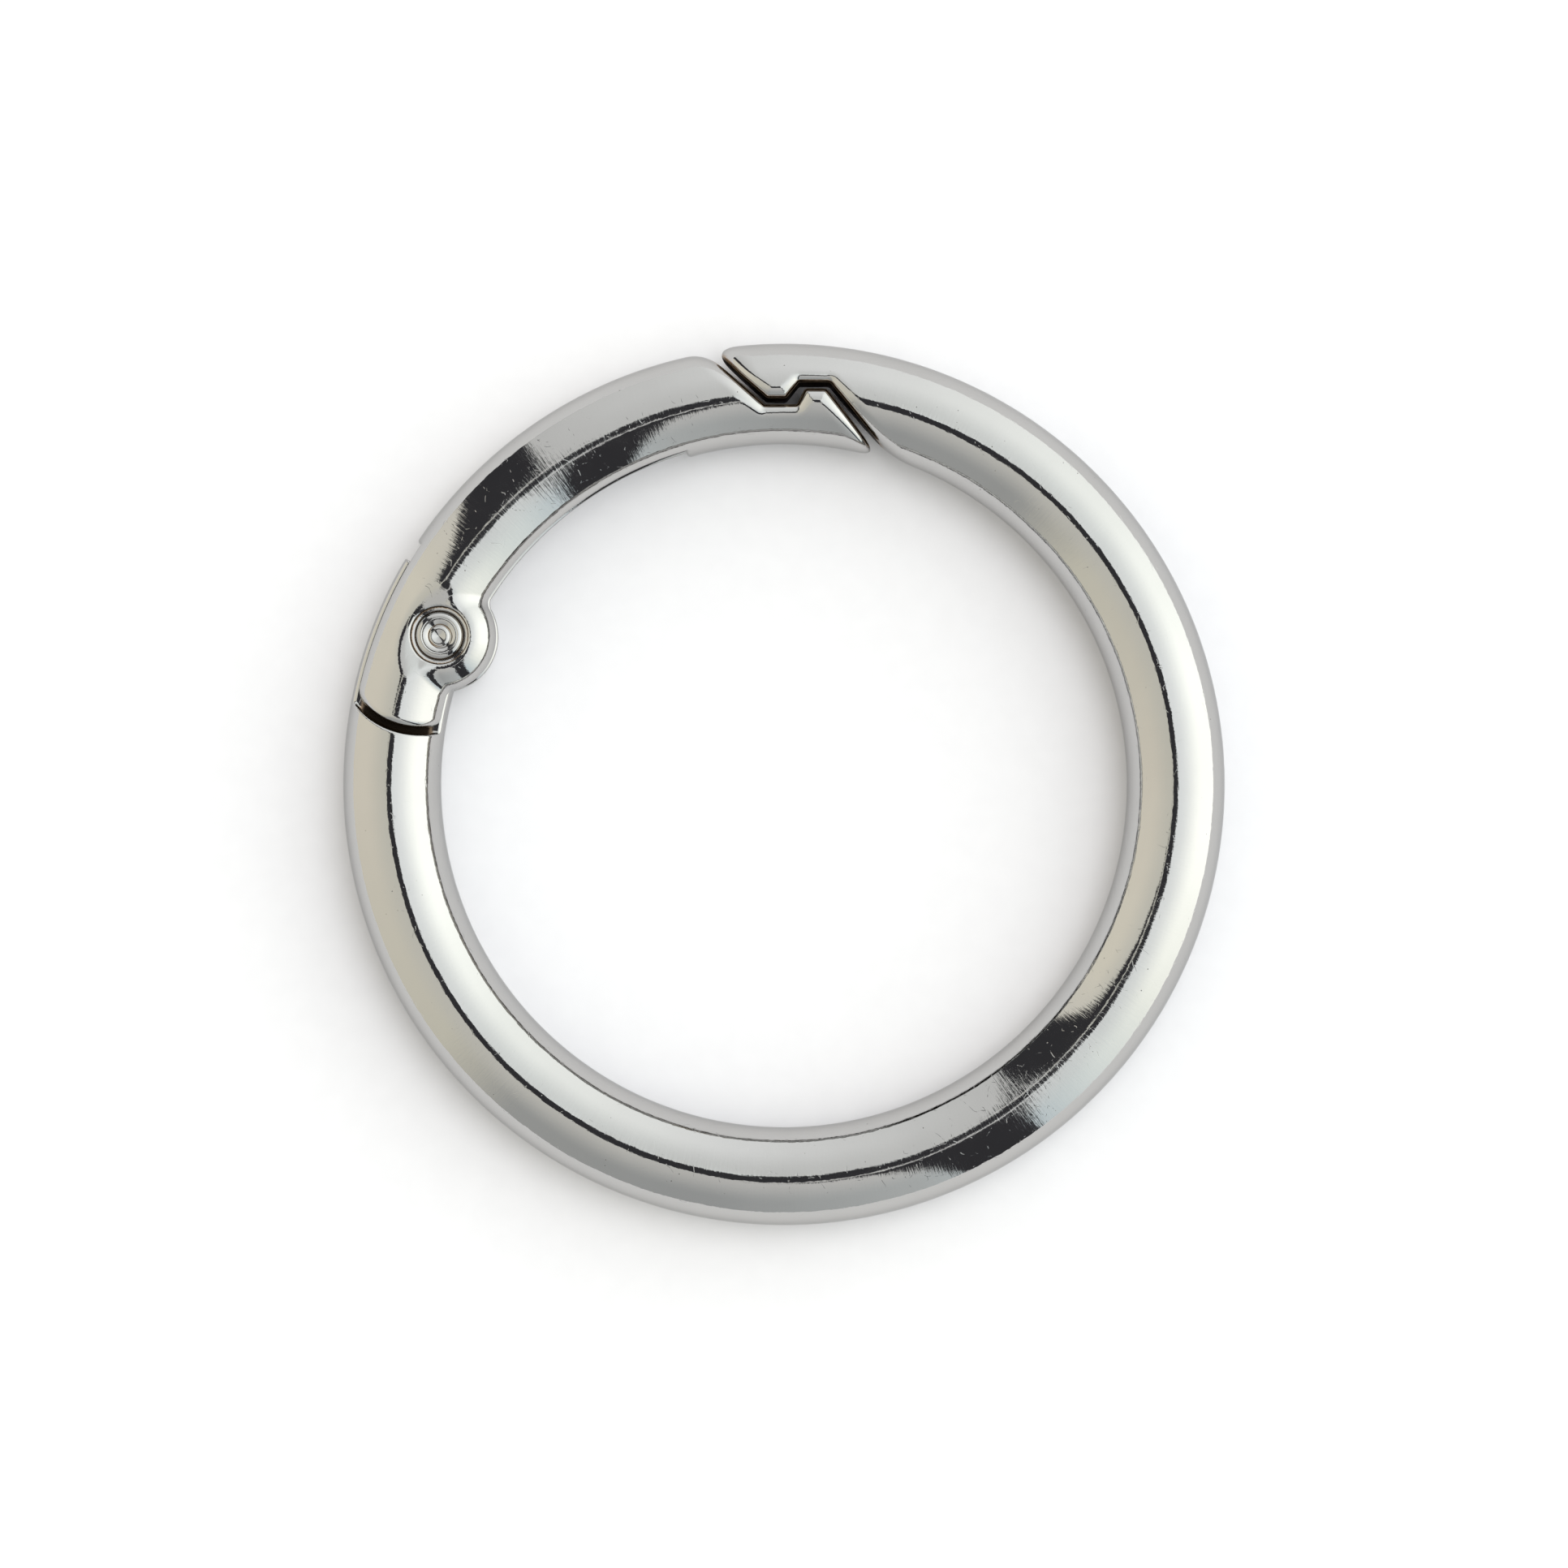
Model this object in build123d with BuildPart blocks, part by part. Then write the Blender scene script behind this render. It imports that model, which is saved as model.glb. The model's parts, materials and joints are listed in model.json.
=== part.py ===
from build123d import *
import os
from math import atan2, cos, degrees, radians, sin, sqrt

os.makedirs("parts", exist_ok=True)

# A spring-gate ring: a round bar bent into a circle, opened by a hinged, sprung gate.
# The ring lies in the XY plane with its centre on the origin. Lengths are in millimetres.
# Azimuths are in degrees, anticlockwise from +X as seen from +Z.

# ---- The ring ----
eye_diameter = 35.0
bar_diameter = 5.0
bar_radius = bar_diameter / 2
ring_radius = eye_diameter / 2 + bar_radius
reach = 2 * bar_radius          # how far cutting shapes run past the bar, up and down

# ---- The hinge ----
rivet_distance = 19.04          # from the ring's centre
rivet_azimuth = 156.6
shank_radius = 0.70
ear_bore_radius = 0.71
eye_bore_radius = 0.75          # the tongue turns on the rivet with 0.05 clearance
boss_radius = 2.88
boss_half_height = 2.38
boss_round = 1.25
boss_outer_cut = 0.30           # the boss stops just past the rivet's axis, under the bar's crown
dish_radius = 6.70              # each ear is dished gently round the rivet
dish_height = 2.20              # height of the dish's lowest point above the ring's plane
recess_radius = 1.47
recess_floor = 1.72             # height of the counterbore's floor above the ring's plane

# ---- The rivet's heads ----
head_radius = 1.27
head_height = 0.42
head_round = 0.32
funnel_radius = 0.90            # the flat rim runs in to here, then slopes down to the groove
funnel_depth = 0.10
groove_radius = 0.60
groove_depth = 0.21
cone_radius = 0.48              # the pressed cone inside the groove
cone_edge_depth = 0.18
cone_depth = 0.28

# ---- The gate's channel and the body's tongue ----
channel_half_width = 1.05
channel_start = 106.4           # azimuth where the inner channel starts
channel_ceiling = 21.30         # radius of the roof's inner surface
roof_end = 146.6                # azimuth where the roof stops and the tongue shows
tongue_half_thickness = 0.97
tongue_tip = 148.7              # azimuth of the tongue's outer tip
tongue_eye_radius = 2.00
far_azimuth = 185.0             # past the end of every hinge feature

# ---- The shoulder, where the gate's tail meets the body ----
shoulder_centre = Vector(-18.46, 6.87)
shoulder_radius = 4.37
tail_radius = 4.00
sector_end = 159.6              # azimuth through the shoulder's centre

# ---- The latch, as vertical faces across the bar, from outside the ring to inside ----
body_latch = [(-5.78, 23.90), (-0.85, 19.62), (0.10, 19.62), (0.76, 20.43), (2.33, 20.43), (6.10, 15.90)]
gate_latch = [(-5.70, 23.46), (-0.98, 19.27), (0.66, 19.27), (1.08, 20.08), (2.16, 20.08), (5.40, 16.00)]
gate_set = 0.35                 # degrees that the closed gate sits in from the ring's circle

# ---- The spring ----
wire_radius = 0.20
coil_radius = 1.00
coil_turns = 2
coil_pitch = 0.43
coil_base = -0.04               # height of the wire's centre in the lowest turn
pocket_floor = -0.28
pocket_radius = 1.32
pocket_reach = 1.30             # how far out of the rivet the pocket clears the gate-side leg
anchor_leg = 2.40
anchor_groove = 2.65
leg_clearance = 0.05


def polar(radius, azimuth):
    """A point in the ring's plane."""
    return Vector(radius * cos(radians(azimuth)), radius * sin(radians(azimuth)))


def sector(start, end, radius=2 * ring_radius):
    """Corners of a wedge from the ring's centre between two azimuths less than 90 degrees apart."""
    return [(0, 0), polar(radius, start), polar(radius, (start + end) / 2), polar(radius, end)]


rivet_centre = polar(rivet_distance, rivet_azimuth)
rivet_axis = Axis(rivet_centre, (0, 0, 1))
outward = polar(1, rivet_azimuth)
# In this plane +X points out of the ring through the rivet and +Y points along the bar to the tail.
hinge_plane = Plane(origin=rivet_centre, x_dir=outward, z_dir=(0, 0, 1))
# The gate's own circle is the ring's circle turned in about the rivet by gate_set.
gate_centre = Vector(0, 0, 0).rotate(rivet_axis, -gate_set)


def gate_region(latch_path, end_radius):
    """Plan region of the ring's gate side, from a latch path round to the shoulder's arc."""
    latch_azimuth = degrees(atan2(latch_path[0][1], latch_path[0][0]))
    middle = (latch_azimuth + sector_end) / 2
    far_side = [polar(2 * ring_radius, azimuth) for azimuth in (sector_end, middle, latch_azimuth)]
    with BuildSketch() as region:
        with BuildLine():
            Polyline(*latch_path, (0, 0), *far_side, close=True)
        make_face()
        with Locations(shoulder_centre):
            Circle(end_radius)
    return region.sketch


gate_window = gate_region(body_latch, shoulder_radius)
gate_outline = gate_region(gate_latch, tail_radius)


# ---- Ring body: the long arc, with the latch's nose at one end and the tongue at the other ----
with BuildPart() as ring_body:
    with BuildSketch(Plane.XZ):
        with Locations((ring_radius, 0)):
            Circle(bar_radius)
    revolve(axis=Axis.Z)

    # Open the gate's window above and below the tongue
    for side in (1, -1):
        with BuildSketch(Plane.XY.offset(side * tongue_half_thickness)):
            add(gate_window)
        extrude(amount=side * reach, mode=Mode.SUBTRACT)

    # Between those cuts, keep only the tongue: the whole bar on the tail's side of the rivet,
    # and its outer part on the gate's side, out to the tip
    with BuildSketch():
        add(gate_window)
        with BuildLine():
            tip = hinge_plane.to_local_coords(polar(ring_radius + bar_radius + 1, tongue_tip))
            wide = 2 * reach
            tail_side = [(-wide, 0), (-wide, wide), (wide, wide), (wide, tip.Y)]
            tongue_corners = [*tail_side, (tip.X, tip.Y), (0, -tongue_eye_radius), (0, 0)]
            Polyline(*[hinge_plane.from_local_coords(corner) for corner in tongue_corners], close=True)
        make_face(mode=Mode.SUBTRACT)
    extrude(amount=tongue_half_thickness, both=True, mode=Mode.SUBTRACT)

    # The tongue's eye, and its bore for the rivet
    with BuildSketch(hinge_plane):
        Circle(tongue_eye_radius)
    extrude(amount=tongue_half_thickness, both=True)
    with BuildSketch(hinge_plane):
        Circle(eye_bore_radius)
    extrude(amount=reach, both=True, mode=Mode.SUBTRACT)

    # Pocket for the spring's coil and its gate-side leg, and the groove for its anchor leg
    with BuildSketch(hinge_plane.offset(pocket_floor)):
        Circle(pocket_radius)
        with Locations((pocket_reach, 0)):
            Rectangle(3 * reach, 2 * reach, align=(Align.MAX, Align.MAX))
        with Locations((coil_radius, 0)):
            groove_width = 2 * (wire_radius + leg_clearance)
            Rectangle(groove_width, anchor_groove, align=(Align.CENTER, Align.MIN))
    extrude(amount=tongue_half_thickness - pocket_floor, mode=Mode.SUBTRACT)

ring_body.part.label = "ring_body"
export_step(ring_body.part, "parts/ring_body.step")


# ---- Gate: the short arc, with a round boss and two ears that straddle the tongue ----
with BuildPart() as gate:
    # The boss stands proud of the bar on the inside of the ring only
    with BuildSketch(hinge_plane.offset(-boss_half_height)):
        Circle(boss_radius)
    extrude(amount=2 * boss_half_height)
    fillet(gate.edges().filter_by(GeomType.CIRCLE), radius=boss_round)
    split(bisect_by=Plane(hinge_plane.from_local_coords((boss_outer_cut, 0)), z_dir=-outward))

    with BuildSketch(Plane(gate_centre, z_dir=(0, -1, 0), x_dir=(1, 0, 0))):
        with Locations((ring_radius, 0)):
            Circle(bar_radius)
    revolve(axis=Axis(gate_centre, (0, 0, 1)))

    with BuildSketch():
        add(gate_outline)
    extrude(amount=reach, both=True, mode=Mode.INTERSECT)

    # The channel is open to the inside of the ring, under a roof, and right through past the roof's end
    with BuildSketch():
        with BuildLine():
            Polyline(*sector(channel_start, far_azimuth), close=True)
        make_face()
        with Locations(gate_centre):
            Circle(channel_ceiling, mode=Mode.INTERSECT)
        with BuildLine():
            Polyline(*sector(roof_end, far_azimuth), close=True)
        make_face()
    extrude(amount=channel_half_width, both=True, mode=Mode.SUBTRACT)

    # Rivet bore, and a dish and a counterbore in each ear
    with BuildSketch(hinge_plane):
        Circle(ear_bore_radius)
    extrude(amount=reach, both=True, mode=Mode.SUBTRACT)
    for side in (1, -1):
        with Locations(rivet_centre + Vector(0, 0, side * (dish_height + dish_radius))):
            Sphere(dish_radius, mode=Mode.SUBTRACT)
        with BuildSketch(hinge_plane.offset(side * recess_floor)):
            Circle(recess_radius)
        extrude(amount=side * reach, mode=Mode.SUBTRACT)

gate.part.label = "gate"
export_step(gate.part, "parts/gate.step")


# ---- Hinge rivet: a shank with a swaged head at each end, a rounded rim round a pressed cone ----
with BuildPart() as hinge_rivet:
    head_top = recess_floor + head_height
    with BuildSketch(Plane(hinge_plane.origin, x_dir=outward, z_dir=outward.cross(Vector(0, 0, 1)))):
        with BuildLine():
            shank_foot = (shank_radius, 0)
            shank_top = (shank_radius, recess_floor)
            head_foot = (head_radius, recess_floor)
            rim_foot = (head_radius, head_top - head_round)
            rim_top = (head_radius - head_round, head_top)
            funnel_top = (funnel_radius, head_top)
            funnel_foot = (groove_radius, head_top - funnel_depth)
            groove_foot = ((groove_radius + cone_radius) / 2, head_top - groove_depth)
            cone_edge = (cone_radius, head_top - cone_edge_depth)
            Polyline((0, 0), shank_foot, shank_top, head_foot, rim_foot)
            RadiusArc(rim_foot, rim_top, -head_round)
            Polyline(rim_top, funnel_top, funnel_foot, groove_foot, cone_edge)
            Polyline(cone_edge, (0, head_top - cone_depth), (0, 0))
        make_face()
    revolve(axis=rivet_axis)
    mirror(about=Plane.XY)

hinge_rivet.part.label = "hinge_rivet"
export_step(hinge_rivet.part, "parts/hinge_rivet.step")


# ---- Torsion spring: two turns about the rivet, one leg under the roof, one anchored in the tongue ----
with BuildPart() as torsion_spring:
    coil_height = coil_turns * coil_pitch
    with BuildLine() as coil_path:
        coil = Helix(
            pitch=coil_pitch,
            height=coil_height,
            radius=coil_radius,
            center=(rivet_centre.X, rivet_centre.Y, coil_base),
            lefthand=True,
            mode=Mode.PRIVATE,
        )
        add(coil.rotate(rivet_axis, rivet_azimuth))
    coil_line = coil_path.line
    with BuildSketch(Plane(origin=coil_line @ 0, z_dir=coil_line % 0)):
        Circle(wire_radius)
    sweep(path=coil_line, is_frenet=True)

    # Both legs leave the coil on its outer side: the gate's leg runs until it meets the roof
    leg_radius = rivet_distance + coil_radius
    leg_end = channel_ceiling - wire_radius - leg_clearance
    gate_leg = sqrt(leg_end**2 - leg_radius**2)
    along_bar = hinge_plane.y_dir
    for start, direction, length in (
        (coil_line @ 0, along_bar, anchor_leg),
        (coil_line @ 1, -along_bar, gate_leg),
    ):
        with Locations(start):
            Sphere(wire_radius)
        with BuildSketch(Plane(origin=start, z_dir=direction)):
            Circle(wire_radius)
        extrude(amount=length)

torsion_spring.part.label = "torsion_spring"
export_step(torsion_spring.part, "parts/torsion_spring.step")
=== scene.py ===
import json
from math import atan2, cos, degrees, hypot, pi, radians, sin, sqrt

import bpy
import numpy as np
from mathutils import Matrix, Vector


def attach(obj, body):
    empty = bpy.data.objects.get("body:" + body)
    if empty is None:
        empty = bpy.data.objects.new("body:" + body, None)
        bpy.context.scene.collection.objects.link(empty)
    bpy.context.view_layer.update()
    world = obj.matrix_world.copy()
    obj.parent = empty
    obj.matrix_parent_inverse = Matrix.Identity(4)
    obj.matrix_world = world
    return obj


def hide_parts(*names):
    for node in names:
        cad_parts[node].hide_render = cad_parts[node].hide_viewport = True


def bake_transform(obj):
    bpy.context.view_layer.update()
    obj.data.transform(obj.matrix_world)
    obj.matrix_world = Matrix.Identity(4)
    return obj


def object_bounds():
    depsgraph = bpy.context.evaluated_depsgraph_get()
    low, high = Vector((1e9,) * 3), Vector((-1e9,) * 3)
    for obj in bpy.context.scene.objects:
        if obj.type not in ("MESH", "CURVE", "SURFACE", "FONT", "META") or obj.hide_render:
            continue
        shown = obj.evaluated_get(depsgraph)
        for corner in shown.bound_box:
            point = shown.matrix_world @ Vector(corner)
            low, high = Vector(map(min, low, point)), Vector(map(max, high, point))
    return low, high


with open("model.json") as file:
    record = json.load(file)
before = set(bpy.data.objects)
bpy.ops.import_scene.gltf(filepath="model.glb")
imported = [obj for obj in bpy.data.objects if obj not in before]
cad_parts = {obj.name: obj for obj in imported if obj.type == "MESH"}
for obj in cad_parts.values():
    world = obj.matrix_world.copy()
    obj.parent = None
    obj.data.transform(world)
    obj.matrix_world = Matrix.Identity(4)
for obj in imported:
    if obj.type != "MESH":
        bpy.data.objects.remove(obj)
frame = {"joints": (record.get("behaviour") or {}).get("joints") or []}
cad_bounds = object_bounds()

# A spring-gate ring, polished and plated, lying flat on a pale floor.
# Shapes are worked out in millimetres in the frame's axes, and become metres in make_mesh.
# Azimuths are in degrees, anticlockwise from +X as seen from +Z.
METRES = 0.001
fine = 0.09
settling_steps = 4
rivet_sides = 96
wire_sides = 16
steps_per_turn = 48

# ---- Sizes and places from the frame ----
low, high = (np.array(corner) / METRES for corner in cad_bounds)
bar_radius = round((high[2] - low[2]) / 2, 1)
ring_radius = round((high[0] - low[0]) / 2, 1) - bar_radius
hinge = frame["joints"][0]
rivet_x, rivet_y = (value / METRES for value in hinge["pos_m"][:2])
rivet_distance = hypot(rivet_x, rivet_y)
rivet_azimuth = degrees(atan2(rivet_y, rivet_x))

# ---- Hinge ----
boss_radius = 2.88
boss_half_height = 2.38
boss_round = 1.50
boss_outer_cut = 0.30
boss_blend = 0.28
# The dish is pressed into the boss by a ball of this radius, a little outward of the rivet
dish_radius = 6.70
dish_height = 2.20
dish_shift = 0.30
dish_ease = 0.25
# The gate's bar lies this far inside the ring's circle, and further in towards its tail.
# The extra grows between these angles past the rivet.
gate_inset = 0.03
tail_inset = 0.04
tail_inset_start = -16.0
tail_inset_end = 11.0
# The recess round each of the rivet's heads has a floor that rises a little past the head
recess_radius = 1.47
recess_floor = 1.72
recess_rise = 0.15
rise_under_head = 0.05
ear_bore_radius = 0.71
eye_bore_radius = 0.75

# ---- Rivet: (radius, height) from the head's rim inwards ----
shank_radius = 0.70
head_radius = 1.27
rim_round = 0.32
rim_height = 2.13
funnel_radius = 0.90
funnel = [(0.912, 2.130), (funnel_radius, 2.112), (0.888, 2.118), (0.76, 2.088), (0.63, 2.050)]
groove_radius = 0.565
groove = [(0.600, 2.020), (0.585, 1.955), (groove_radius, 1.930)]
cone = [(0.510, 1.935), (0.485, 1.965), (0.30, 1.915), (0.12, 1.875), (0.03, 1.862)]
cone_floor = 1.86
# The punch that pressed the cone went in a little off centre
groove_drift = (0.03, -0.035)
cone_drift = (-0.04, -0.04)

# ---- Channel and tongue ----
channel_half_width = 1.05
channel_start = 106.4
channel_ceiling = 21.30
roof_end = 146.6
tongue_half_thickness = 0.97
tongue_tip = 148.7
tongue_eye_radius = 2.00
pocket_floor = -0.28
pocket_radius = 1.32
pocket_reach = 1.30
far_azimuth = 185.0

# ---- Shoulder and latch: vertical faces across the bar ----
shoulder_centre = (-18.46, 6.87)
shoulder_radius = 4.37
tail_radius = 4.00
sector_end = 159.6
body_latch = [(-5.78, 23.90), (-0.85, 19.62), (0.10, 19.62), (0.76, 20.43), (2.33, 20.43), (6.10, 15.90)]
gate_latch = [(-5.70, 23.46), (-0.98, 19.27), (0.66, 19.27), (1.08, 20.08), (2.16, 20.08), (5.40, 16.00)]
body_corner_radii = [0.28, 0.14, 0.12, 0.32]
gate_corner_radii = [0.10, 0.12, 0.22, 0.35]
# The closed gate stands this many degrees inward of the ring's circle
gate_set = 0.35
# The latch's edges are eased over these widths, and more on the nose. The nose's pairs are where
# it starts and where it is whole, out from the bar's centre line and left of the ring's centre.
body_latch_ease = 0.66
nose_ease_extra = 0.50
nose_outward = (0.6, 2.0)
nose_leftward = (0.5, 1.8)
gate_latch_ease = 0.80
latch_fill = 0.03
# Rounds of the other edges
tail_lip = 0.36
shoulder_lip = 0.12
channel_lip = 0.20
sharp_lip = 0.08
# The latch lies right of this x, and the shoulder and the tail lie left of it
latch_start = shoulder_centre[0] / 2

# ---- Spring ----
wire_radius = 0.20
coil_radius = 1.00
coil_turns = 2
coil_pitch = 0.43
coil_base = -0.04
anchor_leg = 2.40
wire_clearance = 0.05
leg_clearance = 0.25
# A leg's points stop this far from the coil
coil_gap = 0.10

# ---- Reach of the meshes' grids ----
body_grid_inner = 16.8
gate_grid_inner = 15.9
grid_outer = 22.8
grid_bottom = -2.65
grid_top = 2.7

# ---- Dirt and painted shade in the hollows, as mm of depth below the outside, and how far it reaches ----
recess_shade_and_dirt = 0.12
recess_wall_reach = 0.03
recess_floor_reach = 0.12
recess_corner_shade_and_dirt = 0.62
recess_corner_spread = 0.055
groove_shade_and_dirt = 0.45
groove_shade_spread = 0.05
funnel_shade_and_dirt = 0.15
funnel_shade_spread = 0.02
under_head_shade_and_dirt = 0.60
under_head_reach = 0.05


# ---------------------------------------------------------------- Distance fields

def round_union(a, b, radius):
    """Union of two solids' distances, with a concave fillet where they meet."""
    fillet = np.hypot(np.maximum(radius - a, 0), np.maximum(radius - b, 0))
    return np.maximum(radius, np.minimum(a, b)) - fillet


def round_cut(a, b, radius):
    """Intersection of two solids' distances, with a convex fillet where they meet."""
    rounding = np.hypot(np.maximum(radius + a, 0), np.maximum(radius + b, 0))
    return np.minimum(-radius, np.maximum(a, b)) + rounding


def soft_cut(a, b, spread):
    """Intersection of two solids' distances, eased where they meet at a shallow angle."""
    return np.maximum(a, b) + np.maximum(spread - np.abs(a - b), 0) ** 2 / (4 * spread)


def smooth_step(value, start, end):
    """0 at start, 1 at end, with no corners between."""
    share = np.clip((value - start) / (end - start), 0, 1)
    return share * share * (3 - 2 * share)


def bump(value, centre, spread):
    """1 at the centre, and fading to 0 on both sides of it."""
    return np.exp(-((value - centre) / spread) ** 2)


def polar(radius, azimuth):
    """A point in the ring's plane."""
    return radius * cos(radians(azimuth)), radius * sin(radians(azimuth))


def polygon_distance(x, y, corners):
    """Distance to a closed polygon in the ring's plane, negative inside it."""
    nearest = np.inf
    inside = False
    for (ax, ay), (bx, by) in zip(corners, corners[1:] + corners[:1]):
        ex, ey = bx - ax, by - ay
        along = np.clip(((x - ax) * ex + (y - ay) * ey) / (ex * ex + ey * ey), 0, 1)
        nearest = np.minimum(nearest, (x - ax - along * ex) ** 2 + (y - ay - along * ey) ** 2)
        if ey:
            inside = inside ^ (((ay > y) != (by > y)) & (x < ax + (y - ay) * ex / ey))
    return np.where(inside, -1, 1) * np.sqrt(nearest)


def soften(path, radii, steps=5):
    """The path with each inner corner replaced by an arc of the given radius."""
    points = [np.array(point, float) for point in path]
    softened = [tuple(points[0])]
    for before, corner, after, radius in zip(points, points[1:], points[2:], radii):
        into = (corner - before) / np.linalg.norm(corner - before)
        out = (after - corner) / np.linalg.norm(after - corner)
        turn = atan2(into[0] * out[1] - into[1] * out[0], into @ out)
        reach = radius * abs(np.tan(turn / 2))
        side = np.array((-into[1], into[0])) * np.sign(turn)
        centre = corner - into * reach + side * radius
        for angle in np.linspace(0, turn, steps + 1):
            spoke = -side * radius
            softened.append(tuple(centre + np.array((
                spoke[0] * cos(angle) - spoke[1] * sin(angle),
                spoke[0] * sin(angle) + spoke[1] * cos(angle),
            ))))
    return softened + [tuple(points[-1])]


def sector(start, end):
    """Corners of a wedge from the ring's centre, between two azimuths less than 90 degrees apart."""
    return [(0.0, 0.0)] + [polar(2 * ring_radius, azimuth) for azimuth in (start, (start + end) / 2, end)]


def gate_side(latch_path, corner_radii, end_radius):
    """Plan distance to the ring's gate side, from a latch path round to the shoulder's arc."""
    latch_azimuth = degrees(atan2(latch_path[0][1], latch_path[0][0]))
    corners = soften(latch_path, corner_radii) + sector(sector_end, latch_azimuth)

    def distance(x, y):
        arc = np.hypot(x - shoulder_centre[0], y - shoulder_centre[1]) - end_radius
        return np.minimum(polygon_distance(x, y, corners), arc)
    return distance


def bar(x, y, z, centre=(0.0, 0.0), inset=0.0):
    """Distance to a full ring of round bar, whose circle is smaller by the inset."""
    return np.hypot(np.hypot(x - centre[0], y - centre[1]) - ring_radius + inset, z) - bar_radius


def hinge_axes(x, y):
    """Distances out of the ring and along the bar towards the tail, from the rivet's axis."""
    out_x, out_y = polar(1, rivet_azimuth)
    return (x - rivet_x) * out_x + (y - rivet_y) * out_y, (y - rivet_y) * out_x - (x - rivet_x) * out_y


gate_window = gate_side(body_latch, body_corner_radii, shoulder_radius)
gate_outline = gate_side(gate_latch, gate_corner_radii, tail_radius)
out_direction = polar(1, rivet_azimuth)
set_angle = radians(gate_set)
# The closed gate's own circle is the ring's circle turned in about the rivet.
gate_centre = (
    rivet_x - rivet_x * cos(set_angle) - rivet_y * sin(set_angle),
    rivet_y + rivet_x * sin(set_angle) - rivet_y * cos(set_angle),
)


def body_edge(x, y, outside, notch):
    """The body's outside cut by its notch: eased at the latch, most on the nose, crisp at the shoulder."""
    away = np.hypot(x, y) - ring_radius
    nose = smooth_step(away, *nose_outward), smooth_step(-x, *nose_leftward)
    spread = body_latch_ease + nose_ease_extra * nose[0] * nose[1]
    return np.where(
        x > latch_start,
        soft_cut(outside, -notch - latch_fill, spread),
        round_cut(outside, -notch, shoulder_lip),
    )


def gate_edge(x, envelope, outline):
    """The gate's envelope cut to its outline: eased at the latch, and rounded at the tail."""
    return np.where(
        x > latch_start,
        soft_cut(envelope, outline - latch_fill, gate_latch_ease),
        round_cut(envelope, outline, tail_lip),
    )


def tongue_plan():
    """Plan corners of the tongue: the whole bar on the tail's side of the rivet, its outer part beyond."""
    reach = 4 * bar_radius
    out_x, out_y = out_direction
    tip_x, tip_y = polar(ring_radius + bar_radius + 1, tongue_tip)
    tip_out, tip_along = hinge_axes(tip_x, tip_y)
    local = [(-reach, 0), (-reach, reach), (reach, reach), (reach, tip_along), (tip_out, tip_along),
             (0, -tongue_eye_radius), (0, 0)]
    return [(rivet_x + a * out_x - b * out_y, rivet_y + a * out_y + b * out_x) for a, b in local]


tongue_corners = tongue_plan()
channel_sector = sector(channel_start, far_azimuth)
roofless_sector = sector(roof_end, far_azimuth)


def body_field(x, y, z):
    """Distance to the ring body."""
    outward, along = hinge_axes(x, y)
    from_rivet = np.hypot(outward, along)
    slab = np.abs(z) - tongue_half_thickness
    eye = from_rivet - tongue_eye_radius
    tongue = round_cut(np.minimum(polygon_distance(x, y, tongue_corners), eye), slab, sharp_lip)
    notch = round_cut(gate_window(x, y), -tongue, shoulder_lip)
    solid = body_edge(x, y, bar(x, y, z), notch)
    solid = np.minimum(solid, round_cut(eye, slab, sharp_lip))
    leg_room = np.maximum(np.maximum(outward - pocket_reach, along), from_rivet - 4 * bar_radius)
    coil_room = np.minimum(from_rivet - pocket_radius, leg_room)
    leg_groove = np.maximum(
        np.abs(outward - coil_radius) - wire_radius - wire_clearance,
        np.abs(along) - anchor_leg - leg_clearance,
    )
    pocket = np.maximum(np.minimum(coil_room, leg_groove), pocket_floor - z)
    solid = round_cut(solid, -pocket, sharp_lip)
    return round_cut(solid, eye_bore_radius - from_rivet, sharp_lip)


def gate_envelope(x, y, z):
    """The gate's bar and boss, before anything is cut from them."""
    outward, along = hinge_axes(x, y)
    wide = np.hypot(outward, along) - boss_radius + boss_round
    tall = np.abs(z) - boss_half_height + boss_round
    beyond = np.hypot(np.maximum(wide, 0), np.maximum(tall, 0))
    boss = beyond + np.minimum(np.maximum(wide, tall), 0) - boss_round
    boss = round_cut(boss, outward - boss_outer_cut, boss_blend)
    towards_tail = np.degrees(np.arctan2(y, x)) - rivet_azimuth
    inset = gate_inset + tail_inset * smooth_step(towards_tail, tail_inset_start, tail_inset_end)
    whole = round_union(bar(x, y, z, gate_centre, inset), boss, boss_blend)
    from_dish_axis = np.hypot(outward - dish_shift, along)
    dish = np.hypot(from_dish_axis, np.abs(z) - dish_height - dish_radius) - dish_radius
    return soft_cut(whole, -dish, dish_ease)


def gate_field(x, y, z):
    """Distance to the gate."""
    outward, along = hinge_axes(x, y)
    from_rivet = np.hypot(outward, along)
    ceiling = np.hypot(x - gate_centre[0], y - gate_centre[1]) - channel_ceiling
    channel = np.minimum(
        np.maximum(polygon_distance(x, y, channel_sector), ceiling),
        polygon_distance(x, y, roofless_sector),
    )
    channel = np.maximum(channel, np.abs(z) - channel_half_width)
    solid = gate_edge(x, gate_envelope(x, y, z), gate_outline(x, y))
    solid = round_cut(solid, -channel, channel_lip)
    floor_height = recess_floor + recess_rise * np.maximum(from_rivet - head_radius + rise_under_head, 0)
    recess = np.maximum(from_rivet - recess_radius, floor_height - np.abs(z))
    solid = round_cut(solid, -recess, sharp_lip)
    return round_cut(solid, ear_bore_radius - from_rivet, sharp_lip)


# ---------------------------------------------------------------- Meshes from fields

def gradient(field, points, step=1e-4):
    """Central differences of a field at points."""
    columns = []
    for axis in np.eye(3) * step:
        ahead = field(*(points + axis).T)
        behind = field(*(points - axis).T)
        columns.append((ahead - behind) / (2 * step))
    return np.stack(columns, 1)


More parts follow.
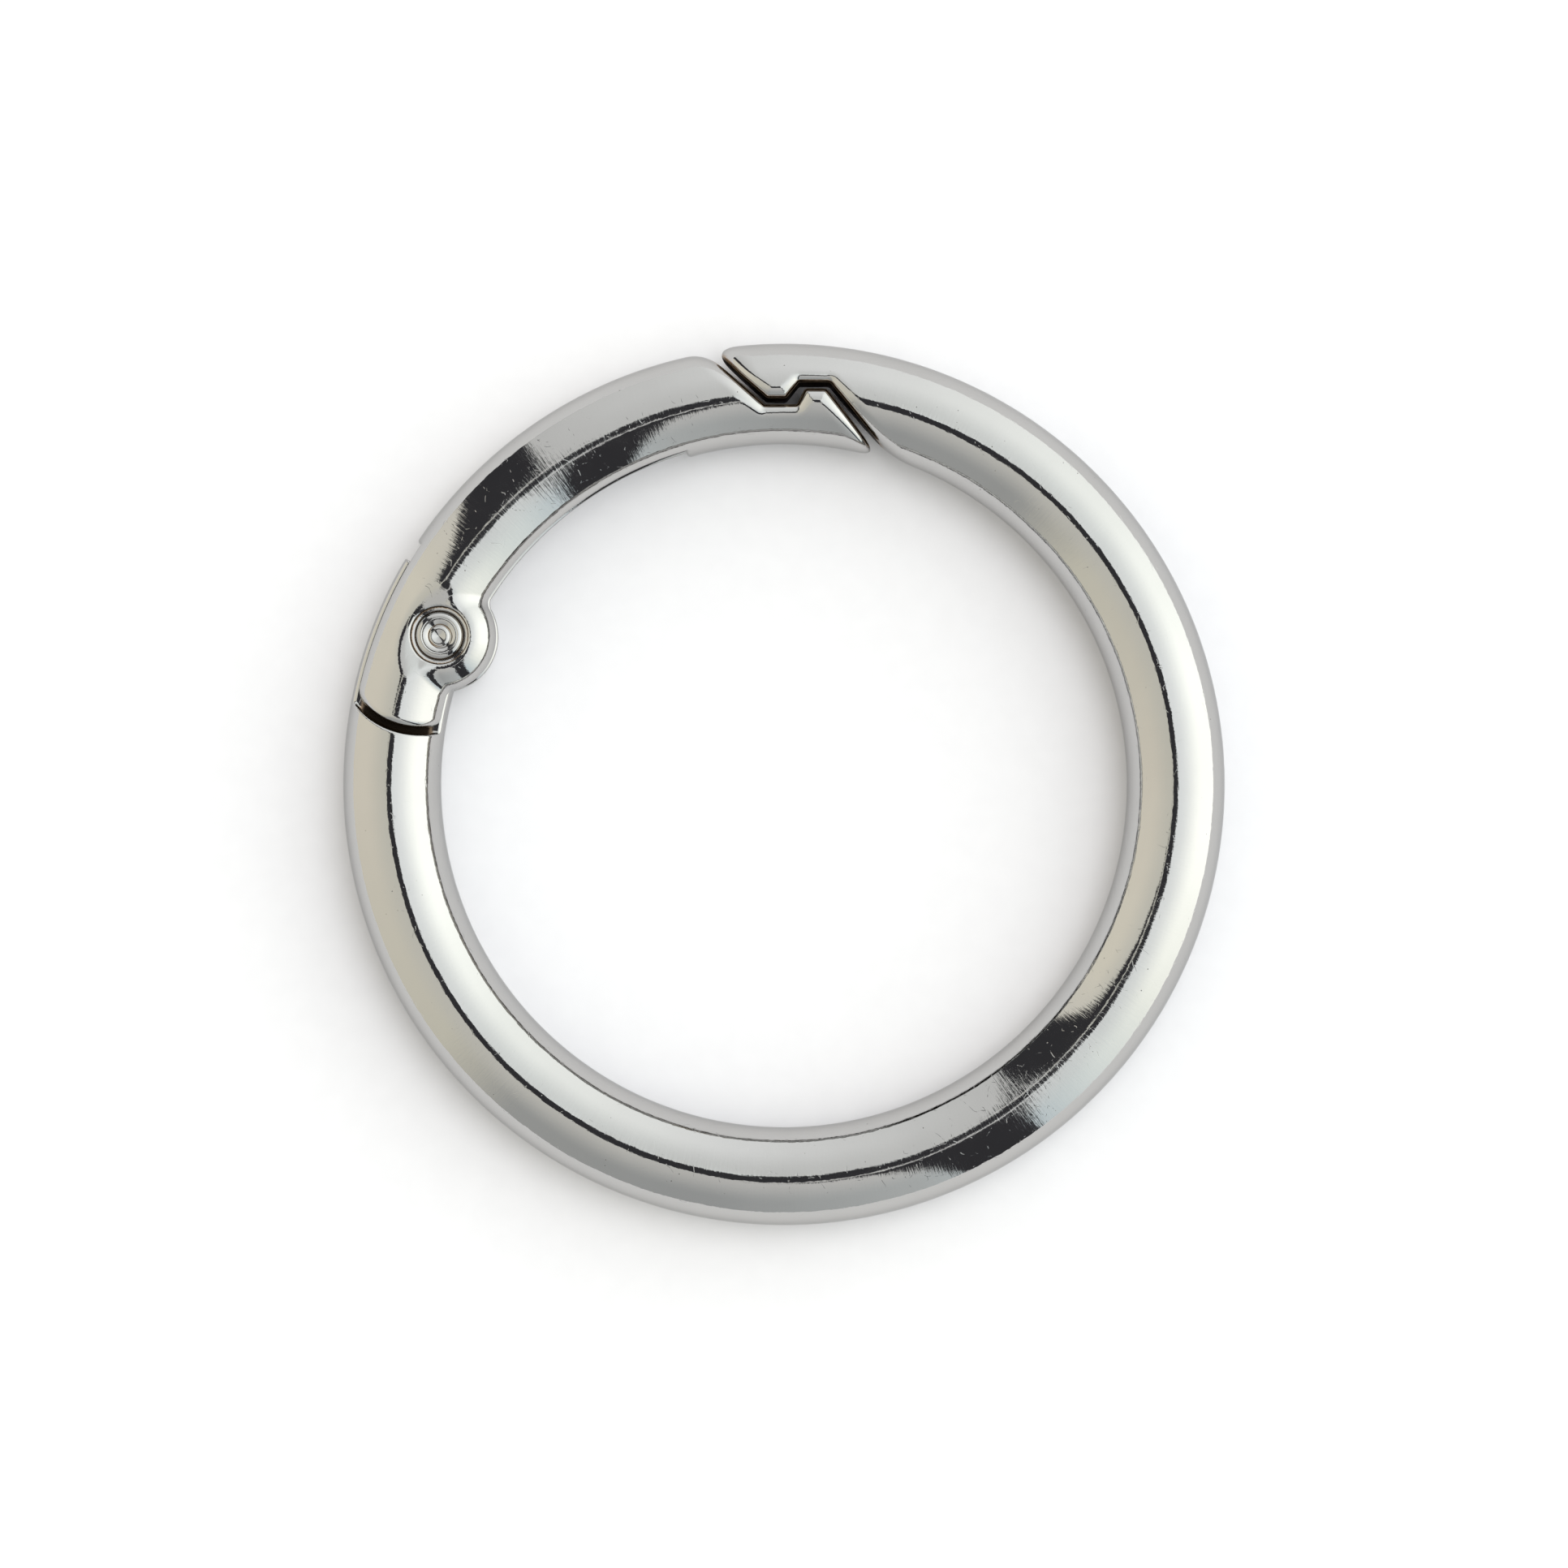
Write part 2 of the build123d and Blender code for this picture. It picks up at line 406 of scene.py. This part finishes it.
def surface(field, azimuths, radii, heights):
    """Vertices, quads and normals of a field's zero surface."""
    axes = [np.radians(azimuths), np.asarray(radii), np.asarray(heights)]
    x = axes[1][None, :, None] * np.cos(axes[0])[:, None, None]
    y = axes[1][None, :, None] * np.sin(axes[0])[:, None, None]
    value = np.broadcast_to(field(x, y, axes[2][None, None, :]), [len(axis) for axis in axes])
    inside = value < 0
    shape = np.array(value.shape)

    corners = np.array([(i, j, k) for i in (0, 1) for j in (0, 1) for k in (0, 1)])
    cells = shape - 1
    count = np.zeros(cells, np.int8)
    for i, j, k in corners:
        count += inside[i:i + cells[0], j:j + cells[1], k:k + cells[2]]
    active = np.argwhere((count > 0) & (count < 8))
    index = np.full(cells, -1, np.int64)
    index[tuple(active.T)] = np.arange(len(active))

    # Each vertex starts at the mean of the surface's crossings with its cell's edges
    total = np.zeros((len(active), 3))
    crossings = np.zeros(len(active))
    for first in corners:
        for axis in range(3):
            if first[axis]:
                continue
            second = first + np.eye(3, dtype=int)[axis]
            a = value[tuple((active + first).T)]
            b = value[tuple((active + second).T)]
            crossed = (a < 0) != (b < 0)
            share = np.where(crossed, a / np.where(crossed, a - b, 1), 0)
            spot = first + share[:, None] * (second - first)
            total += np.where(crossed[:, None], spot, 0)
            crossings += crossed
    spot = active + total / crossings[:, None]
    turn, radius, height = (np.interp(spot[:, i], np.arange(shape[i]), axes[i]) for i in range(3))
    points = np.stack((radius * np.cos(turn), radius * np.sin(turn), height), 1)

    quads = []
    steps = np.eye(3, dtype=int)
    for axis in range(3):
        b, c = steps[(axis + 1) % 3], steps[(axis + 2) % 3]
        ahead = tuple(slice(1, None) if i == axis else slice(None) for i in range(3))
        behind = tuple(slice(None, -1) if i == axis else slice(None) for i in range(3))
        leaves = inside[behind] & ~inside[ahead]
        enters = ~inside[behind] & inside[ahead]
        for edges, order in ((leaves, -1), (enters, 1)):
            edge = np.argwhere(edges)
            edge = edge[(edge @ b > 0) & (edge @ c > 0) & (edge @ b < cells @ b) & (edge @ c < cells @ c)]
            ring = [index[tuple((edge + offset).T)] for offset in (-b - c, -c, 0 * b, -b)]
            quads.append(np.stack(ring[::order], 1))
    quads = np.concatenate(quads)

    # The vertices settle on the true surface
    for _ in range(settling_steps):
        slope = gradient(field, points)
        points -= slope * (field(*points.T) / np.maximum((slope ** 2).sum(1), 0.2))[:, None]
    slope = gradient(field, points)
    return points, quads, slope / np.linalg.norm(slope, axis=1)[:, None]


def stretches(*parts):
    """Azimuths across several stretches, each (start, end, step in mm along the bar's centre)."""
    values = []
    for start, end, step in parts:
        steps = max(2, round(radians(abs(end - start)) * ring_radius / step))
        values.extend(np.linspace(start, end, steps, endpoint=False))
    return np.array(values + [parts[-1][1]])


def make_mesh(name, points, faces, normals=None, depth=None, seam=0.0):
    """A smooth-shaded object from millimetre points, with what its material reads at each of them.

    Its attribute flow is the point's place along, across and above the bar's centre line, and depth is
    how far it lies below the polished outside. The seam is an azimuth that the piece doesn't cross,
    where lengths along the bar start.
    """
    mesh = bpy.data.meshes.new(name)
    mesh.from_pydata((points * METRES).tolist(), [], faces.tolist() if hasattr(faces, "tolist") else faces)
    mesh.shade_smooth()
    turn = np.arctan2(points[:, 1], points[:, 0]) % (2 * pi)
    turn = np.where(turn < radians(seam), turn + 2 * pi, turn)
    flow = np.stack((turn * ring_radius, np.hypot(points[:, 0], points[:, 1]), points[:, 2]), 1)
    places = mesh.attributes.new("flow", "FLOAT_VECTOR", "POINT")
    places.data.foreach_set("vector", flow.astype(np.float32).ravel())
    if depth is None:
        depth = np.zeros(len(points))
    depths = mesh.attributes.new("depth", "FLOAT", "POINT")
    depths.data.foreach_set("value", depth.astype(np.float32))
    if normals is not None:
        mesh.normals_split_custom_set_from_vertices(normals.tolist())
    mesh.update()
    piece = bpy.data.objects.new(name, mesh)
    bpy.context.scene.collection.objects.link(piece)
    return piece


def lathe(profile, steps):
    """A turned solid on the rivet's axis, with a point at each end.

    The profile's points are (radius, height, drift x, drift y).
    """
    rings = np.array(profile[1:-1])
    angles = np.linspace(0, 2 * pi, steps, endpoint=False)
    wall = np.stack((
        rings[:, 2, None] + rings[:, 0, None] * np.cos(angles),
        rings[:, 3, None] + rings[:, 0, None] * np.sin(angles),
        np.repeat(rings[:, 1, None], steps, 1),
    ), 2).reshape(-1, 3)
    tips = [(end[2], end[3], end[1]) for end in (profile[0], profile[-1])]
    points = np.concatenate((wall, tips)) + (rivet_x, rivet_y, 0)
    faces = []
    last = len(rings) - 1
    for step in range(steps):
        following = (step + 1) % steps
        for ring in range(last):
            first = ring * steps
            faces.append((first + step, first + following, first + steps + following, first + steps + step))
        faces.append((len(wall), following, step))
        faces.append((last * steps + step, last * steps + following, len(wall) + 1))
    return points, faces


def tube(path, radius, sides):
    """A round wire along a path, with domed ends."""
    path = np.array(path)
    tangents = np.gradient(path, axis=0)
    tangents /= np.linalg.norm(tangents, axis=1)[:, None]
    dome = np.radians((80, 60, 40, 20))
    starts = [(path[0] - tangents[0] * radius * sin(a), tangents[0], radius * cos(a)) for a in dome]
    ends = [(path[-1] + tangents[-1] * radius * sin(a), tangents[-1], radius * cos(a)) for a in dome[::-1]]
    stations = starts + [(point, tangent, radius) for point, tangent in zip(path, tangents)] + ends
    side = np.cross(tangents[0], (0, 0, 1))
    rows = []
    for point, tangent, size in stations:
        side = side - tangent * (side @ tangent)
        side /= np.linalg.norm(side)
        up = np.cross(tangent, side)
        for angle in np.linspace(0, 2 * pi, sides, endpoint=False):
            rows.append(point + size * (cos(angle) * side + sin(angle) * up))
    count = len(rows)
    rows += [path[0] - tangents[0] * radius, path[-1] + tangents[-1] * radius]
    faces = []
    for step in range(sides):
        following = (step + 1) % sides
        for first in range(0, count - sides, sides):
            faces.append((first + step, first + following, first + sides + following, first + sides + step))
        faces.append((count, following, step))
        faces.append((count - sides + step, count - sides + following, count + 1))
    return np.array(rows), faces


# ---------------------------------------------------------------- Pieces

def make_body():
    """The long arc, from the tongue round to the latch's nose, with a coarser mesh on the plain bar."""
    azimuths = stretches(
        (143.0, 175.0, fine), (175.0, 182.0, 2 * fine), (182.0, 422.0, 5 * fine), (422.0, 430.0, 2 * fine),
        (430.0, 463.0, 0.9 * fine),
    )
    radii = np.arange(body_grid_inner, grid_outer, fine)
    heights = np.arange(grid_bottom, grid_top, fine)
    points, quads, normals = surface(body_field, azimuths, radii, heights)
    return make_mesh("ring_body_shell", points, quads, normals, -bar(*points.T), seam=125.0)


def make_gate():
    """The short arc, with its latch, channel, ears and tail, and dirt and painted shade in the corner of
    each recess.
    """
    azimuths = stretches(
        (73.0, 104.0, 0.9 * fine), (104.0, 108.0, fine), (108.0, 143.0, 1.8 * fine), (143.0, 174.0, fine),
    )
    radii = np.arange(gate_grid_inner, grid_outer, fine)
    heights = np.arange(grid_bottom, grid_top, fine)
    points, quads, normals = surface(gate_field, azimuths, radii, heights)
    depth = -gate_envelope(*points.T)
    # The recess round the rivet's head is bright too, apart from dirt and painted shade in its corner
    from_rivet = np.hypot(points[:, 0] - rivet_x, points[:, 1] - rivet_y)
    over_floor = np.abs(points[:, 2]) > recess_floor - recess_floor_reach
    in_recess = (from_rivet < recess_radius + recess_wall_reach) & over_floor
    corner = recess_shade_and_dirt + recess_corner_shade_and_dirt * bump(from_rivet, recess_radius, recess_corner_spread)
    depth = np.where(in_recess, np.minimum(depth, corner), depth)
    return make_mesh("gate_shell", points, quads, normals, depth)


def arc(centre, radius, start, end, steps):
    """Points on an arc of a lathe profile, angles in degrees from the outward direction."""
    angles = np.radians(np.linspace(start, end, steps))
    return [(centre[0] + radius * cos(a), centre[1] + radius * sin(a)) for a in angles]


def make_rivet():
    """A shank with a swaged head at each end: a rounded rim, a funnel, and a pressed cone in a groove."""
    rim = arc((head_radius - rim_round, rim_height - rim_round), rim_round, 0, 90, 9)
    outer = [(shank_radius, recess_floor), (head_radius, recess_floor), *rim, *funnel]
    head = [(radius, height, 0, 0) for radius, height in outer]
    head += [(radius, height, *groove_drift) for radius, height in groove]
    head += [(radius, height, *cone_drift) for radius, height in cone]
    foot = [(radius, -height, x, y) for radius, height, x, y in head]
    profile = [(0, -cone_floor, *cone_drift)] + foot[::-1] + head + [(0, cone_floor, *cone_drift)]
    points, faces = lathe(profile, rivet_sides)
    # Dirt and painted shade in the groove, round the funnel and on the shank under each head
    away = np.hypot(points[:, 0] - rivet_x, points[:, 1] - rivet_y)
    creased = groove_shade_and_dirt * bump(away, groove_radius, groove_shade_spread)
    creased += funnel_shade_and_dirt * bump(away, funnel_radius, funnel_shade_spread)
    under_head = np.abs(points[:, 2]) < recess_floor + under_head_reach
    low_side = np.where(under_head, under_head_shade_and_dirt, 0.0)
    return make_mesh("rivet_swaged", points, faces, None, np.maximum(creased, low_side))


def make_spring():
    """Wire from its anchor leg, two left-hand turns up round the rivet, and out along the gate's roof."""
    out_x, out_y = out_direction
    leg_radius = rivet_distance + coil_radius
    gate_leg = sqrt((channel_ceiling - wire_radius - wire_clearance) ** 2 - leg_radius ** 2)
    coil_top = coil_base + coil_turns * coil_pitch
    local = [(coil_radius, along, coil_base) for along in np.linspace(anchor_leg, coil_gap, 8)]
    for share in np.linspace(0, 1, steps_per_turn * coil_turns + 1):
        angle = -2 * pi * coil_turns * share
        height = coil_base + (coil_top - coil_base) * share
        local.append((coil_radius * cos(angle), coil_radius * sin(angle), height))
    local += [(coil_radius, -along, coil_top) for along in np.linspace(coil_gap, gate_leg, 16)]
    path = [(rivet_x + a * out_x - b * out_y, rivet_y + a * out_y + b * out_x, z) for a, b, z in local]
    points, faces = tube(path, wire_radius, wire_sides)
    return make_mesh("torsion_spring_wire", points, faces)


# ---------------------------------------------------------------- Materials

class Shader:
    """A node tree written as short calls: each call adds one node and returns its output."""

    def __init__(self, tree):
        self.tree = tree
        tree.nodes.clear()

    def node(self, kind, inputs=(), output=0, **settings):
        added = self.tree.nodes.new("ShaderNode" + kind)
        for name, value in settings.items():
            setattr(added, name, value)
        for key, value in dict(inputs).items():
            if isinstance(value, bpy.types.NodeSocket):
                self.tree.links.new(value, added.inputs[key])
            else:
                added.inputs[key].default_value = value
        return added.outputs[output] if added.outputs else None

    def math(self, operation, *values):
        return self.node("Math", dict(enumerate(values)), operation=operation)

    def smooth(self, value, start, end):
        """Smooth step: 0 where the value is at start, 1 where it is at end."""
        sockets = {"Value": value, "From Min": start, "From Max": end}
        return self.node("MapRange", sockets, interpolation_type="SMOOTHSTEP")

    def blend(self, share, first, second):
        """The first colour where the share is 0, the second where it is 1."""
        sockets = {"Factor": share, "A": first, "B": second}
        added = self.tree.nodes.new("ShaderNodeMix")
        added.data_type = "RGBA"
        for key, value in sockets.items():
            kind = "VALUE" if key == "Factor" else "RGBA"
            socket = next(s for s in added.inputs if s.name == key and s.type == kind)
            if isinstance(value, bpy.types.NodeSocket):
                self.tree.links.new(value, socket)
            else:
                socket.default_value = value
        return next(s for s in added.outputs if s.type == "RGBA")

    def times(self, value, factor):
        return self.math("MULTIPLY", value, factor)

    def noise(self, place, scale, detail=2.0, rough=0.5):
        sockets = {"Vector": place, "Scale": scale, "Detail": detail, "Roughness": rough}
        return self.node("TexNoise", sockets)

    def ramp(self, value, stops):
        """Colours along a value, from (position, colour) stops."""
        added = self.tree.nodes.new("ShaderNodeValToRGB")
        self.tree.links.new(value, added.inputs[0])
        elements = added.color_ramp.elements
        elements[0].position, elements[0].color = stops[0][0], (*stops[0][1], 1)
        elements[1].position, elements[1].color = stops[-1][0], (*stops[-1][1], 1)
        for position, colour in stops[1:-1]:
            elements.new(position).color = (*colour, 1)
        return added.outputs[0]


# Most of a noise's values lie in this range
noise_range = (0.35, 0.75)

# Sizes of the plating's marks: heights and depths in mm, scales in marks per mm
ripple_scale = 5.5
ripple_angle = radians(25)
ripple_stretch = (0.35, 1.0, 1.0)
ripple_height = 0.0026
swell_scale = 0.18
swell_height = 0.05
line_stretch = (8.0, 0.9, 0.9)
line_height = 0.0020
scratch_scale = 0.8
scratch_bend_scale = 0.9
scratch_piece_scale = 3.1
scratch_pieces = (0.55, 0.61)
scratch_half_width = 0.016
scratch_depth = 0.0014
pit_scale = 1.5
pit_group_scale = 0.8
pit_groups = (0.44, 0.56)
pit_slope = (0.065, 0.02)
pit_depth = 0.006

# Colours of the plating, and how the tarnish, the dirt and the painted shade grow with depth below the
# outside
silver = (0.500, 0.494, 0.486)
steel = (0.40, 0.39, 0.38)
copper = (0.42, 0.31, 0.22)
# Nearly black: dirt and painted shade on the deepest faces, in gaps, slots and under the rivet's heads
dirt_and_shade_colour = (0.018, 0.011, 0.006)
speck = (0.05, 0.045, 0.04)
speck_cover = 0.75
cloud_scale = 0.25
cloud_shade = 0.97
unevenness = 0.22
unevenness_scale = 2.6
copper_depths = (0.24, 0.42)
dirt_and_shade_depths = (0.36, 0.58)
haze_scale = 1.3
haze_roughness = 0.045
copper_roughness = 0.12
dirt_and_shade_roughness = 0.35
dirt_and_shade_gloss = 0.15
rim_tint = (0.70, 0.70, 0.70, 1)


def metal(name, colour, roughness, seed, waviness=1.0):
    """Bright plating with the marks of its polish, and tarnish, dirt and painted shade where the polish
    can't reach.
    """
    material = bpy.data.materials.new(name)
    material.use_nodes = True
    shader = Shader(material.node_tree)
    flow = shader.node("Attribute", output="Vector", attribute_name="flow")
    depth = shader.node("Attribute", output="Fac", attribute_name="depth")
    place = shader.node("VectorMath", {0: flow, 1: (seed, seed, seed)}, operation="ADD")

    # Slanted ripples left by the polishing wheel, on a long gentle swell
    turned = {"Vector": place, "Rotation": (0, 0, ripple_angle), "Scale": ripple_stretch}
    ripple = shader.noise(shader.node("Mapping", turned), ripple_scale, 2.0, 0.55)
    swell = shader.noise(place, swell_scale, 1.0)
    ripples = shader.times(ripple, ripple_height * waviness)
    height = shader.math("ADD", ripples, shader.times(swell, swell_height))

    # Much finer lines run across the bar
    crosswise = shader.node("Mapping", {"Vector": place, "Scale": line_stretch})
    lines = shader.noise(crosswise, 1.0, 3.0, 0.6)
    height = shader.math("ADD", height, shader.times(lines, line_height * waviness))

    # Hairline scratches: the edges of large distorted cells, broken up into short pieces
    bend = shader.noise(place, scratch_bend_scale, 2.0)
    bent = shader.node("VectorMath", {0: place, 1: bend}, operation="ADD")
    cells = shader.node("TexVoronoi", {"Vector": bent, "Scale": scratch_scale}, feature="DISTANCE_TO_EDGE")
    pieces = shader.smooth(shader.noise(place, scratch_piece_scale, 1.0), *scratch_pieces)
    scratch = shader.math("MULTIPLY", shader.smooth(cells, scratch_half_width, 0.0), pieces)
    height = shader.math("SUBTRACT", height, shader.times(scratch, scratch_depth))

    # Sparse pits
    pits = shader.node("TexVoronoi", {"Vector": place, "Scale": pit_scale}, feature="F1")
    chosen = shader.smooth(shader.noise(place, pit_group_scale, 0.0), *pit_groups)
    pit = shader.math("MULTIPLY", shader.smooth(pits, *pit_slope), chosen)
    height = shader.math("SUBTRACT", height, shader.times(pit, pit_depth))

    normal = shader.node("Bump", {"Height": height, "Strength": 1.0, "Distance": METRES})

    # Tarnish and a duller finish below the polished outside: first coppery, then nearly black with dirt and
    # painted shade
    patches = shader.math("SUBTRACT", shader.noise(place, unevenness_scale, 3.0, 0.6), 0.5)
    sunk = shader.math("ADD", depth, shader.times(patches, unevenness))
    coppery = shader.smooth(sunk, *copper_depths)
    # Painted shade: the deepest faces turn nearly black, with dirt there as well
    dirt_and_shade = shader.smooth(sunk, *dirt_and_shade_depths)
    cloudy = shader.smooth(shader.noise(place, cloud_scale, 3.0, 0.6), *noise_range)
    bright = shader.blend(cloudy, (*colour, 1), (*(cloud_shade * value for value in colour), 1))
    tinted = shader.blend(coppery, bright, (*copper, 1))
    tinted = shader.blend(dirt_and_shade, tinted, (*dirt_and_shade_colour, 1))
    final = shader.blend(shader.times(pit, speck_cover), tinted, (*speck, 1))
    gloss = shader.node("MapRange", {
        "Value": shader.noise(place, haze_scale, 4.0, 0.65),
        "From Min": noise_range[0],
        "From Max": noise_range[1],
        "To Min": roughness,
        "To Max": roughness + haze_roughness,
    })
    gloss = shader.math("ADD", gloss, shader.times(coppery, copper_roughness))
    gloss = shader.math("ADD", gloss, shader.times(dirt_and_shade, dirt_and_shade_roughness))
    bare = shader.math("SUBTRACT", 1.0, dirt_and_shade)

    surface_shader = shader.node("BsdfPrincipled", {
        "Base Color": final,
        "Metallic": bare,
        "Roughness": gloss,
        "Specular IOR Level": dirt_and_shade_gloss,
        "Normal": normal,
        "Specular Tint": rim_tint,
    })
    shader.node("OutputMaterial", {"Surface": surface_shader})
    return material


# The paper's grains per metre, and its colours from the grain's hollows to its tops
grain_scale = 900.0
paper_tones = [(0.3, (0.865, 0.855, 0.885)), (0.7, (0.88, 0.87, 0.90))]


def floor_material():
    """Pale paper with a fine grain, about one to a millimetre."""
    material = bpy.data.materials.new("floor_paper")
    material.use_nodes = True
    shader = Shader(material.node_tree)
    grain = shader.noise(shader.node("TexCoord", output="Object"), grain_scale, 3.0)
    tone = shader.ramp(grain, paper_tones)
    surface_shader = shader.node("BsdfDiffuse", {"Color": tone})
    shader.node("OutputMaterial", {"Surface": surface_shader})
    return material


# ---------------------------------------------------------------- Studio

# Two large softboxes hang over the ring. The straight slit between them crosses the zenith.
# Sizes are at a unit height above the ring.
slit_azimuth = 127.0
slit_width = 0.07
slit_flare = 0.215
slit_narrowest = 0.146
near_blur = 0.004
far_blur = 0.012
# The camera and its mount are a dark patch in the slit, with a bright rim round it.
# Each pair is along and across the slit, and the rim's middle is a multiple of the patch's size.
patch_centre = (-0.03, 0.078)
patch_half_size = (0.155, 0.108)
patch_rim = 1.22
patch_blur = 0.05
gap_colour = (0.02, 0.02, 0.022, 1)
box_strength = 2.60
# Angles from the zenith where the high tones start to give way, and where only the low ones are left
high_until = 5.0
low_from = 65.0
# (azimuth, colour) of the softboxes near the zenith and low down
high_tones = [
    (-180, (0.73, 0.72, 0.63)), (-95, (0.68, 0.68, 0.66)), (-56, (0.76, 0.76, 0.75)),
    (-48, (0.86, 0.90, 0.90)), (-20, (1.02, 1.06, 1.06)), (5, (1.06, 1.10, 1.11)),
    (45, (0.96, 1.01, 1.00)), (85, (0.76, 0.78, 0.77)), (125, (0.71, 0.72, 0.71)),
    (140, (0.72, 0.72, 0.66)), (180, (0.73, 0.72, 0.63)),
]
low_tones = [
    (-180, (0.87, 0.82, 0.70)), (-143, (0.74, 0.72, 0.61)), (-130, (0.44, 0.45, 0.44)),
    (-100, (0.42, 0.435, 0.435)), (-72, (0.56, 0.59, 0.59)), (-53, (0.70, 0.80, 0.84)),
    (-30, (1.29, 1.33, 1.24)), (-8, (1.62, 1.65, 1.56)), (15, (1.60, 1.65, 1.57)),
    (40, (1.30, 1.35, 1.30)), (80, (0.99, 1.01, 1.01)), (126, (0.70, 0.71, 0.70)),
    (150, (0.90, 0.86, 0.73)), (180, (0.87, 0.82, 0.70)),
]


def round_the_horizon(shader, azimuth, tones):
    """Half of each colour by azimuth, which the ramp reads as 0 at -180 degrees and 1 at 180."""
    stops = [((angle + 180) / 360, tuple(value / 2 for value in colour)) for angle, colour in tones]
    return shader.ramp(azimuth, stops)


def light_world():
    """The softboxes, which only the ring and the floor see, and a white backdrop for the camera."""
    world = bpy.data.worlds.new("studio")
    bpy.context.scene.world = world
    world.use_nodes = True
    shader = Shader(world.node_tree)
    direction = shader.node("TexCoord", output="Generated")
    x, y, z = (shader.node("SeparateXYZ", {0: direction}, output=i) for i in range(3))
    rise = shader.math("MAXIMUM", z, 0.0001)
    out_x, out_y = polar(1, slit_azimuth)
    lengthwise = shader.math("ADD", shader.math("MULTIPLY", x, out_x), shader.math("MULTIPLY", y, out_y))
    across = shader.math("SUBTRACT", shader.math("MULTIPLY", y, out_x), shader.math("MULTIPLY", x, out_y))

    azimuth = shader.math("ARCTAN2", y, x)
    azimuth = shader.math("ADD", shader.math("DIVIDE", azimuth, 2 * pi), 0.5)
    lowness = shader.smooth(shader.math("ARCCOSINE", z), radians(high_until), radians(low_from))
    high_colour = round_the_horizon(shader, azimuth, high_tones)
    low_colour = round_the_horizon(shader, azimuth, low_tones)
    boxes = shader.blend(lowness, high_colour, low_colour)

    flare = shader.math("MULTIPLY", shader.math("ABSOLUTE", lengthwise), slit_flare)
    far_edge = shader.math("ADD", shader.math("MULTIPLY", rise, slit_width), flare)
    far_edge = shader.math("MAXIMUM", far_edge, shader.math("MULTIPLY", rise, slit_narrowest))
    past_first = shader.smooth(across, -near_blur, near_blur)
    before_second = shader.smooth(shader.math("SUBTRACT", far_edge, across), -far_blur, far_blur)
    squares = []
    for distance, centre, half_size in zip((lengthwise, across), patch_centre, patch_half_size):
        offset = shader.math("SUBTRACT", shader.math("DIVIDE", distance, rise), centre)
        share = shader.math("ABSOLUTE", shader.math("DIVIDE", offset, half_size))
        squares.append(shader.math("POWER", share, 2))
    patch = shader.math("SQRT", shader.math("ADD", *squares))
    beyond_rim = shader.smooth(patch, patch_rim - patch_blur, patch_rim + patch_blur)
    slit = shader.math("MULTIPLY", shader.math("MULTIPLY", past_first, before_second), beyond_rim)
    dark = shader.math("MAXIMUM", slit, shader.smooth(patch, 1 + patch_blur, 1 - patch_blur))
    scene_light = shader.blend(dark, boxes, gap_colour)

    studio = shader.node("Background", {"Color": scene_light, "Strength": box_strength})
    backdrop = shader.node("Background", {"Color": (1.0, 1.0, 1.0, 1), "Strength": 1.0})
    seen = shader.node("LightPath", output="Is Camera Ray")
    mixed = shader.node("MixShader", {0: seen, 1: studio, 2: backdrop})
    shader.node("OutputWorld", {"Surface": mixed})


def add_light():
    """A large soft lamp that lights the floor and throws the ring's shadow, without being reflected."""
    data = bpy.data.lights.new("key", "AREA")
    data.shape = "DISK"
    data.size = 0.40
    data.energy = 0.95
    light = bpy.data.objects.new("key", data)
    spot = Vector((*polar(0.20, 45.0), 0.65))
    light.location = spot
    light.rotation_euler = (-spot).to_track_quat("-Z", "Y").to_euler()
    light.visible_glossy = False
    bpy.context.scene.collection.objects.link(light)


def add_floor():
    """A card on the table, with its left edge just outside the picture."""
    left, right, front, back = -0.0435, 0.066, -0.300, 0.062
    height = low[2] * METRES
    corners = [(left, front, height), (right, front, height), (right, back, height), (left, back, height)]
    mesh = bpy.data.meshes.new("floor")
    mesh.from_pydata(corners, [], [(0, 1, 2, 3)])
    floor = bpy.data.objects.new("floor", mesh)
    bpy.context.scene.collection.objects.link(floor)
    mesh.materials.append(floor_material())


def add_camera():
    """Straight above the ring."""
    data = bpy.data.cameras.new("camera")
    data.sensor_width = 36.0
    data.lens = 134.9
    camera = bpy.data.objects.new("camera", data)
    camera.location = (0, 0.00002, 0.300)
    bpy.context.scene.collection.objects.link(camera)
    bpy.context.scene.camera = camera
    bpy.context.scene.view_settings.view_transform = "Standard"


# ---- Build ----
finishes = {
    "body": metal("body_plating", silver, roughness=0.030, seed=0.0),
    "gate": metal("gate_plating", silver, roughness=0.030, seed=31.0),
    "rivet": metal("rivet_plating", silver, roughness=0.040, seed=57.0, waviness=0.8),
    "spring": metal("spring_wire", steel, roughness=0.18, seed=83.0),
}
for piece, finish, body, node, slot in (
    (make_body(), "body", "ring", "ring_body", "body_plating"),
    (make_gate(), "gate", "gate", "gate", "gate_plating"),
    (make_rivet(), "rivet", "gate", "hinge_rivet", "rivet_plating"),
    (make_spring(), "spring", None, "torsion_spring", "spring_wire"),
):
    piece.data.materials.append(finishes[finish])
    if body:
        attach(piece, body)
    else:
        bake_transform(piece)
    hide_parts(node)

light_world()
add_light()
add_floor()
add_camera()
